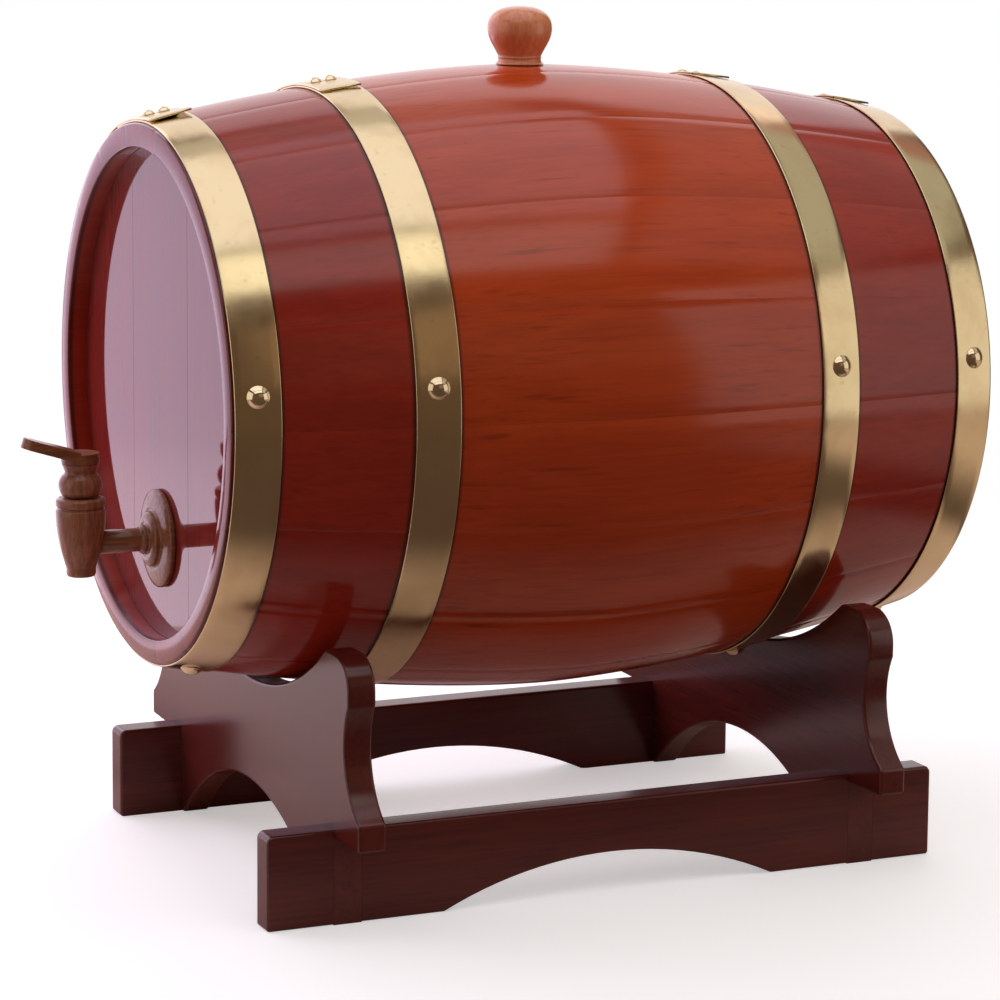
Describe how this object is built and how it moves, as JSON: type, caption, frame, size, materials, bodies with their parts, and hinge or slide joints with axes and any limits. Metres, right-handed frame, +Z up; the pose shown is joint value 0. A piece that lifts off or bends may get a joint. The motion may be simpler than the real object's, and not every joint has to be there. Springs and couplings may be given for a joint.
{
  "type": "wine barrel on stand",
  "caption": "Small varnished oak wine barrel with brass hoops, a turned bung and a wooden tap, lying on a cradle of two rails and two saddle boards.",
  "frame": {"origin": "on the floor under the middle of the whole object's box", "axes": "+Z up, -Y the way the tap points, +X to the right of someone facing the tap end from behind the barrel"},
  "size_m": [0.2666, 0.391, 0.3615],
  "materials": {
    "stave_oak": "clear gloss varnish over red-brown stained oak",
    "head_oak": "clear gloss varnish over dark red stained oak",
    "hoop_brass": "satin rolled brass strip",
    "stand_wood": "gloss varnish over mahogany stain",
    "turned_wood": "gloss varnish over brown turned wood"
  },
  "bodies": {
    "stand": {"rail_left": "stand_wood", "rail_right": "stand_wood", "saddle_front": "stand_wood", "saddle_rear": "stand_wood"},
    "barrel": {"stave_01": "stave_oak", "stave_02": "stave_oak", "stave_03": "stave_oak", "stave_04": "stave_oak", "stave_05": "stave_oak", "stave_06": "stave_oak", "stave_07": "stave_oak", "stave_08": "stave_oak", "stave_09": "stave_oak", "stave_10": "stave_oak", "stave_11": "stave_oak", "stave_12": "stave_oak", "stave_13": "stave_oak", "stave_14": "stave_oak", "stave_15": "stave_oak", "stave_16": "stave_oak", "stave_17": "stave_oak", "stave_18": "stave_oak", "head_front_left": "head_oak", "head_front_centre": "head_oak", "head_front_right": "head_oak", "head_rear_left": "head_oak", "head_rear_centre": "head_oak", "head_rear_right": "head_oak", "hoop_head_front": "hoop_brass", "hoop_quarter_front": "hoop_brass", "hoop_quarter_rear": "hoop_brass", "hoop_head_rear": "hoop_brass", "hoop_rivets": "hoop_brass", "hoop_nails": "hoop_brass", "tap_spigot": "turned_wood", "tap_body": "turned_wood"},
    "tap_key": {"tap_key": "turned_wood", "tap_lever": "turned_wood"},
    "bung": {"bung": "turned_wood"}
  },
  "joints": [
    {"name": "barrel_lift", "type": "slide", "parent": "stand", "child": "barrel", "axis": [0, 0, 1], "range_m": [0, 0.08]},
    {"name": "tap_turn", "type": "hinge", "parent": "barrel", "child": "tap_key", "pos_m": [0, -0.1705, 0.14246], "axis": [0, 0, 1], "range_deg": [0, 90]},
    {"name": "bung_pull", "type": "slide", "parent": "barrel", "child": "bung", "axis": [0, 0, 1], "range_m": [0, 0.03]}
  ]
}
